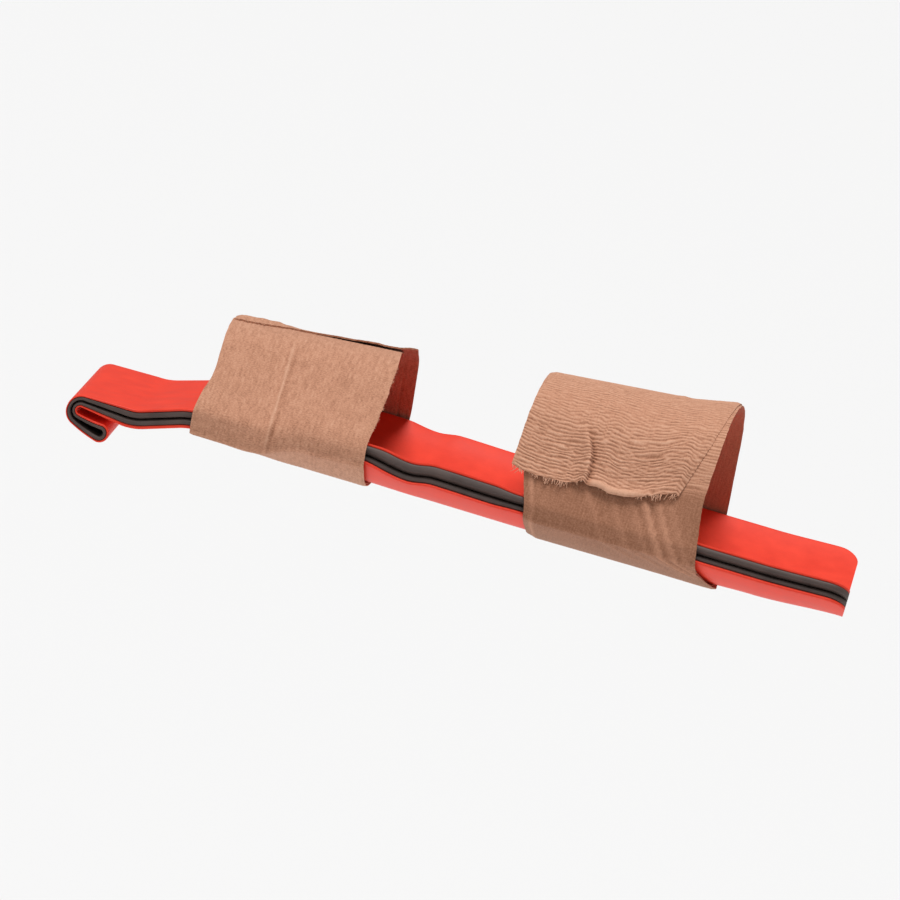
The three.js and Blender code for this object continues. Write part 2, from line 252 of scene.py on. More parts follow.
def slab_faces(rows, columns):
    """Faces of a closed slab: an outer grid of points, then the inner grid of as many."""
    size = rows * columns
    r, c = [a.ravel() for a in np.meshgrid(np.arange(rows - 1), np.arange(columns - 1), indexing="ij")]
    a = r * columns + c
    faces = [np.stack([a, a + columns, a + columns + 1, a + 1], 1)]
    faces.append(faces[0][:, ::-1] + size)
    down = np.arange(rows - 1) * columns
    faces.append(np.stack([down, down + size, down + columns + size, down + columns], 1))
    right = down + columns - 1
    faces.append(np.stack([right, right + columns, right + columns + size, right + size], 1))
    top = np.arange(columns - 1)
    faces.append(np.stack([top, top + 1, top + 1 + size, top + size], 1))
    low = top + size - columns
    faces.append(np.stack([low, low + size, low + 1 + size, low + 1], 1))
    return np.concatenate(faces).tolist()


# ---------------------------------------------------------------- shader nodes
def new_material(name, roughness, metallic=0.0, sheen=0.0, sheen_tint=None, specular=0.5):
    """A material, its node tree and its shader."""
    material = bpy.data.materials.new(name)
    material.use_nodes = True
    tree = material.node_tree
    shader = tree.nodes["Principled BSDF"]
    shader.inputs["Roughness"].default_value = roughness
    shader.inputs["Metallic"].default_value = metallic
    shader.inputs["Specular IOR Level"].default_value = specular
    if sheen:
        shader.inputs["Sheen Weight"].default_value = sheen
        shader.inputs["Sheen Roughness"].default_value = 0.5
        shader.inputs["Sheen Tint"].default_value = sheen_tint
    return material, tree, shader


def add(tree, kind, inputs, **settings):
    """A node with its settings, whose inputs are linked to sockets or set to values."""
    node = tree.nodes.new(kind)
    for key, value in settings.items():
        setattr(node, key, value)
    for key, value in inputs.items():
        if isinstance(value, bpy.types.NodeSocket):
            tree.links.new(value, node.inputs[key])
        else:
            node.inputs[key].default_value = value
    return node


def noise_texture(tree, vector, scale, detail, roughness=0.5):
    """A noise texture node."""
    return add(tree, "ShaderNodeTexNoise",
               {"Vector": vector, "Scale": scale, "Detail": detail, "Roughness": roughness})


def scaled(tree, vector, scale):
    """A vector stretched by a scale for each direction."""
    return add(tree, "ShaderNodeMapping", {"Vector": vector, "Scale": scale}).outputs["Vector"]


def vector_maths(tree, operation, first, second):
    """The result of a sum with two vectors."""
    return add(tree, "ShaderNodeVectorMath", {0: first, 1: second}, operation=operation).outputs[0]


def maths(tree, operation, first, second):
    """The result of a sum with two numbers."""
    return add(tree, "ShaderNodeMath", {0: first, 1: second}, operation=operation).outputs[0]


def weighted(tree, values, weights):
    """The values times their weights, added up."""
    parts = [maths(tree, "MULTIPLY", value, weight) for value, weight in zip(values, weights)]
    result = parts[0]
    for part in parts[1:]:
        result = maths(tree, "ADD", result, part)
    return result


def colour_by(tree, shader, factor, stops):
    """Colours a shader by a ramp of (place, colour) stops."""
    node = add(tree, "ShaderNodeValToRGB", {"Fac": factor})
    elements = node.color_ramp.elements
    while len(elements) < len(stops):
        elements.new(0.5)
    for element, (at, colour) in zip(elements, stops):
        element.position = at
        element.color = (*colour, 1)
    tree.links.new(node.outputs["Color"], shader.inputs["Base Color"])


def bump_by(tree, shader, height, strength, distance):
    """Bumps a shader's surface by a height, with the distance in millimetres."""
    bump = add(tree, "ShaderNodeBump", {"Height": height, "Strength": strength, "Distance": distance * MM})
    tree.links.new(bump.outputs["Normal"], shader.inputs["Normal"])


# ---------------------------------------------------------------- materials
# Swings per metre of the foam's mottle and fine grain, and of the lines drawn along and across the metal
FOAM_MOTTLE, FOAM_GRAIN = 90.0, 600.0
METAL_DRAWN = (60.0, 2200.0, 2200.0)
METAL_TONES = [(0.3, (0.5, 0.51, 0.53)), (0.7, (0.72, 0.73, 0.75))]
# Tone below or above a crepe's middle, and its colour there. The dark colour serves as painted shade and the
# light colour as painted light.
CREPE_TONES = [(-0.24, (0.27, 0.11, 0.055)), (0, (0.55, 0.262, 0.158)), (0.24, (0.71, 0.405, 0.27))]
CREPE_SHEEN_TINT = (0.95, 0.8, 0.7, 1)
# Weights of the threads and of the spots between them in the crepe's fine bump
CREPE_BUMP = (0.6, 1.0)
# Millimetres in one unit of a bandage's UV map
UV_UNIT = 10


def foam_material(name, dark, light, roughness, cell, depth, specular):
    """Closed cell foam: a faint mottle, fine cells of 'cell' mm and soft scuffs, bumped by 'depth' mm."""
    material, tree, shader = new_material(name, roughness, specular=specular)
    place = add(tree, "ShaderNodeTexCoord", {}).outputs["Object"]
    mottle = noise_texture(tree, place, FOAM_MOTTLE, 4.0, 0.6).outputs["Fac"]
    colour_by(tree, shader, mottle, [(0.3, dark), (0.7, light)])
    cells = add(tree, "ShaderNodeTexVoronoi", {"Vector": place, "Scale": 1 / MM / cell}).outputs["Distance"]
    fine = noise_texture(tree, place, FOAM_GRAIN, 3.0).outputs["Fac"]
    bump_by(tree, shader, maths(tree, "ADD", cells, fine), 0.35, depth)
    rough = add(tree, "ShaderNodeMapRange",
                {"Value": mottle, "To Min": roughness - 0.08, "To Max": roughness + 0.1})
    tree.links.new(rough.outputs["Result"], shader.inputs["Roughness"])
    return material


def sheet_metal_material():
    """Soft aluminium sheet with drawn lines along the strip."""
    material, tree, shader = new_material("soft_aluminium", 0.34, metallic=1.0)
    place = add(tree, "ShaderNodeTexCoord", {}).outputs["Object"]
    lines = noise_texture(tree, scaled(tree, place, METAL_DRAWN), 1.0, 2.0).outputs["Fac"]
    colour_by(tree, shader, lines, METAL_TONES)
    bump_by(tree, shader, lines, 0.15, 0.02)
    return material


def crepe_material(name, spots, lines, depth, weights, middle):
    """Crepe weave on the bandage's own UV map: fine threads along the winding 'lines' mm apart, small 'spots'
    between them, and the tone attribute of the modelled ridges, which paints light on crests and shade in
    valleys.
    'weights' are those of the ridges, the spots, the threads and the patches in the tone, and 'middle' is the
    tone that gets the middle colour."""
    material, tree, shader = new_material(name, 0.92, sheen=0.12, sheen_tint=CREPE_SHEEN_TINT)
    uv = add(tree, "ShaderNodeUVMap", {}, uv_map="weave").outputs["UV"]
    wobble = noise_texture(tree, uv, 3.0, 2.0).outputs["Color"]
    swing = vector_maths(tree, "SUBTRACT", wobble, (0.5, 0.5, 0.5))
    moved = vector_maths(tree, "ADD", uv, vector_maths(tree, "MULTIPLY", swing, (0.06, 0.06, 0.0)))
    combed = scaled(tree, moved, (UV_UNIT / lines, 1.6, 1.0))
    threads = noise_texture(tree, combed, 1.0, 2.0).outputs["Fac"]
    spread = scaled(tree, moved, (UV_UNIT / spots[0], UV_UNIT / spots[1], 1.0))
    dots = noise_texture(tree, spread, 1.0, 3.0, 0.6).outputs["Fac"]
    patch = noise_texture(tree, uv, 0.7, 3.0).outputs["Fac"]
    # The tone attribute from the bandage mesh: painted light on ridges and folds, painted shade in valleys,
    # hollows and on the inner face
    relief_and_shade = add(tree, "ShaderNodeAttribute", {}, attribute_name="relief_and_shade").outputs["Fac"]
    tone = weighted(tree, (relief_and_shade, dots, threads, patch), weights)
    colour_by(tree, shader, tone, [(middle + step, colour) for step, colour in CREPE_TONES])
    bump_by(tree, shader, weighted(tree, (threads, dots), CREPE_BUMP), 0.7, depth)
    return material


red_material = foam_material(
    "red_foam_skin", dark=(0.76, 0.035, 0.012), light=(0.86, 0.05, 0.02),
    roughness=0.52, cell=0.45, depth=0.05, specular=0.3)
# The grey foam's colours are its own dark grey made darker and warmer: painted shade and painted red bounce
# light from the red foam
grey_material = foam_material(
    "grey_foam_skin", dark=(0.052, 0.033, 0.028), light=(0.092, 0.06, 0.051),
    roughness=0.62, cell=0.5, depth=0.08, specular=0.5)
metal_material = sheet_metal_material()
wrist_crepe = crepe_material(
    "wrist_crepe", spots=(1.0, 0.5), lines=0.8, depth=0.4, weights=(0.44, 0.62, 0.16, 0.08), middle=0.65)
elbow_crepe = crepe_material(
    "elbow_crepe", spots=(0.9, 0.65), lines=0.8, depth=0.3, weights=(0.5, 0.3, 0.16, 0.08), middle=0.52)

# ---------------------------------------------------------------- the foam strip
FOLD_STEPS = 22
stations = strip_stations()
turn_sides = 1 - 2 * np.arange(1, FOLD_STEPS) / FOLD_STEPS
places = np.concatenate([stations, np.repeat(stations[-1:], FOLD_STEPS - 1, 0), stations[::-1]])
sides = np.concatenate([np.ones(len(stations)), turn_sides, -np.ones(len(stations))])

# x where the foam is free between the bandages, and how far its upper and lower edges swell there
FREE_FOAM = (-33, -22, 27, 39)
UPPER_SWELL, LOWER_SWELL = 1.15, 0.25
# Depth of the seam between grey and red foam on the cut edge, and how much deeper where the foam is free
UPPER_SEAM, LOWER_SEAM, CLOSED_SEAM = (2.85, 1.05), (2.6, 0.45), 2.7
# Distances from the middle line between which the swell sets in, and past which the rim lies
SWELL_FROM, SWELL_TO = 38, 52
RIM_FROM = 53
# A place whose side is past this is on the upper or, with a minus, on the lower run
ON_RUN = 0.99
# x from which the lower run's rim lies further in
RECESS_FROM, RECESS_TO = -45, -35

LIP = HALF_WIDTH - METAL_INSET + 0.2
# across, then depth as fixed + seam share + outer share
GREY_EDGE = [
    (47, 0, 0, 0), (50, 0, 0, 0), (51.6, 0.02, 0, 0), (52.6, 0.08, 0, 0), (53.2, 0.22, 0, 0),
    (53.65, 0.45, 0, 0), (53.95, 0.8, 0, 0), (54.1, 1.25, 0, 0), (54.12, -0.9, 1, 0), (54.02, -0.45, 1, 0),
    (53.8, -0.2, 1, 0), (53.45, -0.08, 1, 0), (52.9, -0.05, 1, 0), (LIP + 0.25, -0.05, 1, 0),
    (LIP, GREY, 0, 0), (47, GREY, 0, 0),
]
RED_EDGE = [
    (47, RED_IN, 0, 0), (LIP, RED_IN, 0, 0), (LIP + 0.25, 0.05, 1, 0), (52.9, 0.05, 1, 0),
    (53.45, 0.08, 1, 0), (53.8, 0.2, 1, 0), (53.98, 0.45, 1, 0), (54.05, 0.3, 0.5, 0.5), (54.0, -0.5, 0, 1),
    (53.85, -0.25, 0, 1), (53.5, -0.07, 0, 1), (52.9, 0, 0, 1), (51.5, 0, 0, 1), (49, 0, 0, 1), (46, 0, 0, 1),
]
METAL_EDGE = [
    (50.9, METAL_IN, 0, 0), (51.3, METAL_IN + 0.06, 0, 0), (51.45, (METAL_IN + METAL_OUT) / 2, 0, 0),
    (51.3, METAL_OUT - 0.06, 0, 0), (50.9, METAL_OUT, 0, 0),
]
# Places across the middle of the strip, where its faces are plain
MIDDLE = np.array([40, 32, 24, 16, 8])


def edge_swell(x, side):
    """How much thicker the free foam's edges stand up between the bandages."""
    free = within(FREE_FOAM, x)
    return np.where(side > 0, UPPER_SWELL * free, LOWER_SWELL * free)


def seam_depth(x, side):
    """Depth of the line on the cut edge where grey foam meets red."""
    free = within(FREE_FOAM, x)
    upper, lower = (depth + more * free for depth, more in (UPPER_SEAM, LOWER_SEAM))
    return np.where(side > ON_RUN, upper, np.where(side < -ON_RUN, lower, CLOSED_SEAM))


def strip_profile(edge, inner, outer):
    """A closed loop of across and depth rules for one layer: out along its inner face, back on its outer."""
    out = [(a, *inner) for a in MIDDLE[::-1]] + edge + [(a, *outer) for a in MIDDLE]
    mirror = [(-a, *rest) for a, *rest in out[::-1]]
    return np.array([(0, *inner)] + out + [(0, *outer)] + mirror)


def strip_layer(profile, recess):
    """Points of one layer. On the lower run its rim at the seam lies 'recess' further in."""
    across, fixed, seam_share, outer_share = profile.T
    x, side = places[:, 0, None], sides[:, None]
    outer = RED_OUT + edge_swell(x, side) * smooth(SWELL_FROM, SWELL_TO, np.abs(across))[None]
    deep = fixed + seam_share * seam_depth(x, side) + outer_share * outer
    rim = (seam_share > 0) & (outer_share == 0) & (np.abs(across) > RIM_FROM)
    tucked = recess * rim[None] * (side < -ON_RUN) * smooth(RECESS_FROM, RECESS_TO, x)
    return strip_points(places[:, None], side, across[None] - np.sign(across)[None] * tucked, deep)


def strip_piece(name, edge, inner, outer, material, node, recess=0.0):
    """One layer of the strip as a piece, from its edge and the depth rules of its two faces."""
    points = strip_layer(strip_profile(edge, inner, outer), recess)
    return make_piece(name, points.reshape(-1, 3), tube_faces(*points.shape[:2]), material, [node])


red = strip_piece("red_foam_layer", RED_EDGE, (RED_IN, 0, 0), (0, 0, 1), red_material, "red_foam",
                  recess=0.4)
grey = strip_piece("grey_foam_layer", GREY_EDGE, (0, 0, 0), (GREY, 0, 0), grey_material,
                   "grey_foam")
strip_piece("aluminium_sheet", METAL_EDGE, (METAL_IN, 0, 0), (METAL_OUT, 0, 0), metal_material,
            "aluminium_core")

# ---------------------------------------------------------------- the tight outline round splint and hollow
BASE_OFF = 1.0
DIRECTION_STEPS = 1440
DIRECTIONS = np.linspace(math.pi / 2, math.pi / 2 + TAU, DIRECTION_STEPS + 1)
RING_SAMPLES = 1200
UNDER_STEPS = 120
HOLLOW_STEPS = 360
TABLE_X = np.arange(-120, 146, 1.0)
EVEN_OUT_OVER = 5


def outline(x):
    """The tight ring at one place: points BASE_OFF off the hollow and the splint and their normals, by even
    shares of the way round from the top, down the -Y side first, and the ring's length."""
    z, curve = trough_at(x)
    station = np.array([x, z, 0, 1, 0, 0, curve, 1])
    across = np.linspace(-HALF_WIDTH, HALF_WIDTH, UNDER_STEPS + 1)
    under = strip_points(station, -1, across, RED_OUT)
    both = np.array([-HALF_WIDTH, HALF_WIDTH])
    rims = np.concatenate([strip_points(station, 1, both, deep) for deep in (0.0, RED_OUT)])
    seat = z + LAYER
    top = np.interp(x, HOLLOW[:, 0], WRIST_TOP + (ELBOW_TOP - WRIST_TOP) * HOLLOW[:, 1])
    half = np.interp(x, HOLLOW[:, 0], WRIST_BREADTH + (ELBOW_BREADTH - WRIST_BREADTH) * HOLLOW[:, 2]) / 2
    angles = np.linspace(0, TAU, HOLLOW_STEPS + 1)
    hollow = np.stack([np.full(len(angles), x), half * np.cos(angles),
                       (top + seat) / 2 + (top - seat) / 2 * np.sin(angles)], 1)
    cloud = np.concatenate([under, rims, hollow])[:, 1:]
    normals = np.stack([np.cos(DIRECTIONS), np.sin(DIRECTIONS)], 1)
    ring = cloud[np.argmax(cloud @ normals.T, axis=0)] + BASE_OFF * normals
    length = np.concatenate([[0], np.cumsum(np.linalg.norm(np.diff(ring, axis=0), axis=1))])
    shares = np.linspace(0, length[-1], RING_SAMPLES + 1)
    points, facing = (np.stack([np.interp(shares, length, grid[:, i]) for i in (0, 1)], 1)
                      for grid in (ring, normals))
    return points, unit(facing), length[-1]


def soften(table):
    """Evens out small steps from place to place along x."""
    kernel = np.hanning(EVEN_OUT_OVER + 2)[1:-1]
    kernel /= kernel.sum()
    more = EVEN_OUT_OVER // 2
    padded = np.concatenate([np.repeat(table[:1], more, 0), table, np.repeat(table[-1:], more, 0)])
    return sum(k * padded[i:i + len(table)] for i, k in enumerate(kernel))


tables = [outline(x) for x in TABLE_X]
RINGS, FACING, ROUND = (np.array(column) for column in zip(*tables))
RINGS, FACING = soften(RINGS), unit(soften(FACING))


def round_at(x):
    """Length of the outline at one place."""
    return float(np.interp(x, TABLE_X, ROUND))


def lookup(table, x, share):
    """A table's values at places along x and shares of the way round."""
    i = np.clip((x - TABLE_X[0]) / (TABLE_X[1] - TABLE_X[0]), 0, len(TABLE_X) - 1.001)
    j = (share % 1.0) * RING_SAMPLES
    i0, j0 = np.floor(i).astype(int), np.floor(j).astype(int)
    a, b = (i - i0)[..., None], (j - j0)[..., None]
    return ((table[i0, j0] * (1 - a) + table[i0 + 1, j0] * a) * (1 - b)
            + (table[i0, j0 + 1] * (1 - a) + table[i0 + 1, j0 + 1] * a) * b)


def off_surface(x, share, off):
    """Points at a distance off the hollow and the splint."""
    ring, facing = lookup(RINGS, x, share), lookup(FACING, x, share)
    flat = ring + (off - BASE_OFF)[..., None] * facing
    return np.concatenate([x[..., None], flat], axis=-1)


# ---------------------------------------------------------------- wound crepe bandages
TURNS = 2
# The wall, the rise from one turn to the next and the clearance under the first turn
WALL = 0.7
PLY = 0.95
CLEAR = 0.45
# How far a turn's long edges lie down on the turn below, and over which share of the width
EDGE_TUCK, TUCK_SHARE = 0.22, 0.03
# The share of the width over which the edge thins, and how thick it is at the rim
RIM_SHARE, RIM_THICKNESS = 0.012, 0.55
# The inner face's tone, as a share of the outer face's: painted shade on the inner face
INNER_FACE_SHADE = 0.8


def spaced(spans):
    """Values along spans of (from, to, steps)."""
    return np.concatenate([np.linspace(a, b, n, endpoint=False) for a, b, n in spans] + [[spans[-1][1]]])


def across_shares(count, dense_at=0.5, dense_by=0.0, spread=0.07):
    """Places across a bandage, closer together round 'dense_at'."""
    even = np.linspace(0, 1, 2001)
    density = 1 + dense_by * bump_line(even - dense_at, spread)
    total = np.concatenate([[0], np.cumsum((density[1:] + density[:-1]) / 2)])
    return np.interp(np.linspace(0, total[-1], count), total, even)


def crepe(x, s, pitch, run, seed):
    """Crepe ridges along x, 0 to 1: long low waves 'pitch' apart that meet and part over 'run'."""
    drift = (0.5 * noise(x / (0.65 * run), s / (1.7 * pitch), seed)
             + 0.2 * noise(x / (0.3 * run), s / pitch, seed + 1))
    wave = (0.5 + 0.5 * np.sin(TAU * (s / pitch + drift))) ** 0.75
    lumps = 0.5 + 0.5 * noise(x / (0.45 * run), s / (0.5 * pitch), seed + 2)
    return 0.72 * wave + 0.28 * lumps - 0.03


def wound_sheet(name, material, node, turns, columns, start, edges, shift, relief_and_shade, lift, round_length):
    """A bandage as one closed sheet wound on a slight spiral, and the grid of its outer face. 'turns' are the
    places along it in whole turns from the ring place 'start', 'edges' gives its two long edges in x, 'shift'
    moves places along the winding, 'relief' is the outer face's height and tone, and 'lift' moves both faces
    outward."""
    t = turns[:, None]
    left, right = edges(t)
    x = left + (right - left) * columns[None]
    share = t + start + shift(t, x) / round_length
    raised, tone = relief_and_shade(t, x)
    rim = within((0, RIM_SHARE, 1 - RIM_SHARE, 1), columns)[None]
    tuck = 1 - within((0, TUCK_SHARE, 1 - TUCK_SHARE, 1), columns)[None]
    base = CLEAR + PLY * t + lift(t, x) - EDGE_TUCK * tuck * smooth(1.0, 1.1, t)
    thick = WALL * (RIM_THICKNESS + (1 - RIM_THICKNESS) * rim)
    inner = off_surface(x, share, base + (WALL - thick) / 2)
    outer = off_surface(x, share, base + (WALL + thick) / 2 + raised * rim)
    points = np.concatenate([outer.reshape(-1, 3), inner.reshape(-1, 3)])
    uv = np.stack(np.broadcast_arrays(x, t * round_length), -1).reshape(-1, 2) / UV_UNIT
    tone = np.broadcast_to(tone, x.shape).ravel()
    # The tone is painted light and shade, made darker still on the inner face as painted shade
    piece = make_piece(name, points, slab_faces(len(turns), len(columns)), material, [node],
                       smooth_angle=60, uv=np.concatenate([uv, uv]),
                       shade=np.concatenate([tone, tone * INNER_FACE_SHADE]))
    return piece, outer


# ---------------------------------------------------------------- the wrist bandage
# It starts and ends just short of the top on the far side
WRIST_ROUND = round_at(-72)
WRIST_START = -0.012
# share of the way round from the top, then x
WRIST_LEFT = [(0, -111.8), (0.08, -110.8), (0.17, -108.9), (0.22, -111), (0.26, -111.6), (0.29, -110.6),
              (0.32, -109.4), (0.36, -109.2), (0.5, -110.5), (0.75, -111.8), (1, -111.8)]
WRIST_RIGHT = [(0, -33.2), (0.08, -31.6), (0.17, -31.4), (0.215, -32.2), (0.25, -32.6), (0.275, -31.8),
               (0.3, -31), (0.36, -30.7), (0.5, -30.7), (0.75, -31.4), (1, -33.2)]
WRIST_RIDGE = [(0.05, -80), (0.08, -79.3), (0.2, -77.1), (0.3, -75.9)]
# x, then how far the free end reaches on toward -Y, and how high it stands
WRIST_END = [(-112, 7.0), (-101, 7.4), (-94, 5.6), (-88, 3.2), (-82, 1.8), (-72, 0.9), (-55, 0), (-30, -1)]
WRIST_END_LIFT = [(-112, -0.2), (-74, -0.2), (-62, 0.5), (-50, 0.9), (-40, 1.0), (-33, 1.3), (-26, 2.2)]
# How much narrower the first turn is at each edge, and how far the end's two edges lie toward +X
FIRST_TURN_INSET = 0.5
LEFT_SLIDE, RIGHT_SLIDE = 1.0, 6
# Turns between which the right edge is frayed
WRIST_FRAYED = (1.08, 1.12, 1.24, 1.27)
RIB_PITCH, RIB_HEIGHT = 1.95, 0.07
# The share of the way round that the ridge runs over, and its height and width
RIDGE_SPAN = (0.05, 0.09, 0.27, 0.31)
RIDGE_HEIGHT, RIDGE_WIDTH = 0.75, 0.7
# How far right of the ridge the line of painted shade beside it lies, and its width
BESIDE_RIDGE, BESIDE_WIDTH = 1.6, 0.8
# The pinch at the ridge's lower end: share of the way round, length, depth, width and how far it slants
PINCH_AT, PINCH_LENGTH, PINCH_DEPTH, PINCH_WIDTH, PINCH_SLANT = 0.262, 0.022, 0.5, 0.9, 26
# The lumps over the free end's hem: x, then mm before the end and how wide
HEM_LUMPS_SPAN = (-113, -108, -92, -80)
HEM_LUMPS_AT, HEM_LUMPS_WIDTH = 5, 2.6
# How far the wall sags in at most
MOST_SAG = 0.15


def wrist_share(t):
    """Share of the way round from the top, for places in whole turns."""
    return (t + WRIST_START) % 1.0


def wrist_edges(t):
    """x of the two long edges."""
    share, along = wrist_share(t), t * WRIST_ROUND
    past = smooth(1.5, 1.8, t)
    inset = FIRST_TURN_INSET * falling(0.9, 1.1, t)
    frays = within(WRIST_FRAYED, t) * (0.35 * ripple(along, 1.3, 51) + 0.25 * ripple(along, 3.1, 52))
    left = rounded(WRIST_LEFT, share, 0.015) + inset + LEFT_SLIDE * past + 0.12 * ripple(along, 2.5, 53)
    right = rounded(WRIST_RIGHT, share, 0.008) - inset + RIGHT_SLIDE * past + frays
    return left, right


def wrist_shift(t, x):
    """The free end's ragged line."""
    ragged = 0.9 * ripple(x, 1.6, 55) + 0.5 * ripple(x, 0.7, 56)
    return smooth(1.93, TURNS, t) * (rounded(WRIST_END, x, 3) + ragged)


def wrist_relief(t, x):
    """Fine ribs round the winding, the long ridge and the pinch at its lower end, with a tone of painted light
    and shade: lighter on the ribs, lumps and ridge, darker in the rib valleys, in a line right of the ridge
    and in the pinch.
    """
    s, share, second = t * WRIST_ROUND, wrist_share(t), t > 1
    ribs = 0.5 + 0.5 * np.sin(TAU * (x / RIB_PITCH + 0.22 * noise(x / 11, s / 13, 15)))
    lumps = 0.5 + 0.5 * noise(x / 1.1, s / 1.8, 17)
    amount = RIB_HEIGHT * (1 + 0.35 * noise(x / 14, s / 14, 18))
    right_of = x - rounded(WRIST_RIDGE, share, 0.02)
    along = within(RIDGE_SPAN, share) * second
    ridge = RIDGE_HEIGHT * bump_line(right_of, RIDGE_WIDTH) * along
    beside = bump_line(right_of - BESIDE_RIDGE, BESIDE_WIDTH) * along
    from_pinch = share - PINCH_AT
    pinch = -PINCH_DEPTH * bump_line(from_pinch, PINCH_LENGTH) * second * bump_line(
        right_of - BESIDE_RIDGE - PINCH_SLANT * np.abs(from_pinch), PINCH_WIDTH)
    # Painted light and shade: lighter on the ribs, lumps and ridge, darker in the rib valleys, the line right
    # of the ridge and the pinch
    tone = 0.46 + 0.06 * (ribs - 0.5) + 0.3 * (lumps - 0.5) + 0.5 * ridge - 0.2 * beside + 0.3 * pinch
    return smooth(0.9, 0.96, t) * (amount * (0.7 * ribs + 0.3 * lumps) + ridge + pinch), tone


def wrist_lift(t, x):
    """The standing free end, a soft sag down to the rim and the lumps over the free end's hem."""
    s, before = t * WRIST_ROUND, (TURNS - t) * WRIST_ROUND
    ragged = 0.3 * ripple(x, 3.5, 21, row=0.3) * smooth(-66, -58, x)
    end = smooth(1.96, TURNS, t) * (rounded(WRIST_END_LIFT, x, 3) + ragged)
    sag = 0.3 * noise(x / 15, s / 24, 23) * smooth(1.0, 1.1, t) * falling(0.26, 0.32, wrist_share(t))
    lumps = ((1.0 + 0.7 * ripple(x, 3.4, 27, row=0.4)) * within(HEM_LUMPS_SPAN, x)
             * bump_line(before - HEM_LUMPS_AT, HEM_LUMPS_WIDTH))
    return end + np.maximum(sag, -MOST_SAG) + lumps


wrist_turns = spaced([(0, 0.9, 58), (0.9, 1.9, 165), (1.9, 2.0, 42)])
wrist_wrap, wrist_outer = wound_sheet(
    "wrist_crepe_bandage", wrist_crepe, "wrist_bandage", wrist_turns, across_shares(178), WRIST_START,
    wrist_edges, wrist_shift, wrist_relief, wrist_lift, WRIST_ROUND)

# ---------------------------------------------------------------- the elbow bandage
# It starts and ends on the -Y side, above the splint's rim
ELBOW_ROUND = round_at(78)
ELBOW_START = 0.222
# turns, then x
ELBOW_LEFT = [(0, 40), (0.07, 46.5), (0.278, 49.5), (0.49, 44), (0.778, 37), (0.95, 36), (1, 37),
              (1.03, 39.5), (1.07, 43), (1.15, 45), (1.278, 46.5), (1.49, 41), (1.778, 33.9), (1.9, 31.8),
              (2, 31.4)]
ELBOW_RIGHT = [(0, 117), (0.07, 120.5), (0.12, 123.3), (0.16, 128), (0.278, 133), (0.49, 128),
               (0.778, 121.2), (0.85, 119.5), (1, 118.2), (1.03, 119.5), (1.07, 121.5), (1.12, 124.3),
               (1.16, 129), (1.21, 134), (1.278, 134), (1.49, 126), (1.778, 120.2), (1.82, 118.8),
               (1.865, 116.8), (1.91, 114.4), (1.955, 110.4), (2, 106.8)]
# x, then how much lower the crepe hangs there at the free end
ELBOW_SWAG = [(30, -0.3), (35, 1.8), (41, 2.8), (48, 3.5), (55, 3.2), (61, 2.8), (66, 2.6), (72, 2.6),
              (77, 4.4), (85, 4.0), (92, 2.3), (99.5, -1.0), (105.4, -2.2), (109, 0)]
# mm up from the free end, then x
FOLD_LINE = [(0, 65.2), (3, 65.2), (9, 64.9), (15.5, 64), (20, 62), (25, 59.4), (32, 56.4), (38, 53.8)]
# mm down from where the second turn starts, then x
TENSION_LINE = [(0, 92), (8, 96.2), (14.7, 99.8), (21, 103.7), (25.5, 107.2), (31, 114.2), (40, 124)]
# Slanting folds: mm right of the tension line, then height
TENSION_FOLDS = [(-26, 0.3), (-15, 0.35), (-6, 0.45), (0, 1.3), (6, 1.0), (11.5, 0.5)]
TENSION_REACH = (0, 5, 32, 46)
# Width of a slanting fold on its left and right
TENSION_LEFT, TENSION_RIGHT = 2.4, 0.9
# Pitch, run and seed of the crepe on the flap, higher up, at the first turn's end and on the lower part
FLAP_CREPE, TOP_CREPE = (1.75, 4.4, 31), (1.65, 2.8, 33)
BAND_CREPE, RUNG_CREPE = (1.4, 14.0, 37), (1.4, 14.0, 38)
# x between which the free end is a clean edge, is rolled and is turned up as a hem
CLEAN_END, ROLLED_END, HEMMED_END = (64.4, 67.4, 84, 90), (65.4, 67.4, 88, 95), (65.4, 69.4, 97, 104)
ROLL_HEIGHT, ROLL_WIDTH = 0.75, 3.4
HEM_HEIGHT = 1.2
NOTCH_X, NOTCH_WIDTH, NOTCH_DEPTH = 63.8, 1.5, 2.0
FOLD_HEIGHT = 2.5
# Width of the fold's back, of its steep front and of the dip in front of it
FOLD_BACK, FOLD_FRONT, FOLD_DIP = 3.8, 0.65, 3
# The knot over the top, at x and at a share of the way round above the free end
KNOT_X, KNOT_ROUND, KNOT_HEIGHT = 95, 0.222, 0.7
# How far the second turn steps down past the first turn's left edge
STEP_DOWN = 0.55
EDGE_BLUR = 0.012


def above_end(t):
    """Millimetres from the free end, back along the winding."""
    return (TURNS - t) * ELBOW_ROUND


def below_start(t):
    """Millimetres on from where the second turn starts."""
    return (t - 1) * ELBOW_ROUND


def elbow_edges(t):
    """x of the two long edges."""
    fray = 0.15 * ripple(t * ELBOW_ROUND, 2.1, 43)
    return rounded(ELBOW_LEFT, t, EDGE_BLUR) + fray, rounded(ELBOW_RIGHT, t, 0.01) - fray


def right_of_first_edge(t, x):
    """How far a place of the second turn lies right of the first turn's left edge."""
    return x - rounded(ELBOW_LEFT, t - 1, EDGE_BLUR)


def elbow_shift(t, x):
    """The free end's line: the swag, the notch at the fold and the ragged stretches."""
    up = above_end(t)
    swag = rounded(ELBOW_SWAG, x, 1.0) * falling(14, 64, up)
    notch = -NOTCH_DEPTH * bump_line(x - NOTCH_X, NOTCH_WIDTH) * falling(0, 7, up)
    ragged = (0.55 * ripple(x, 1.2, 45) + 0.4 * ripple(x, 3.1, 46)) * falling(0, 5, up)
    return swag + notch + ragged * (1 - 0.8 * within(CLEAN_END, x))


def elbow_roll(t, x):
    """1 on the rolled hem right of the fold, 0 elsewhere."""
    return falling(2.0, 3.6, above_end(t)) * within(ROLLED_END, x)


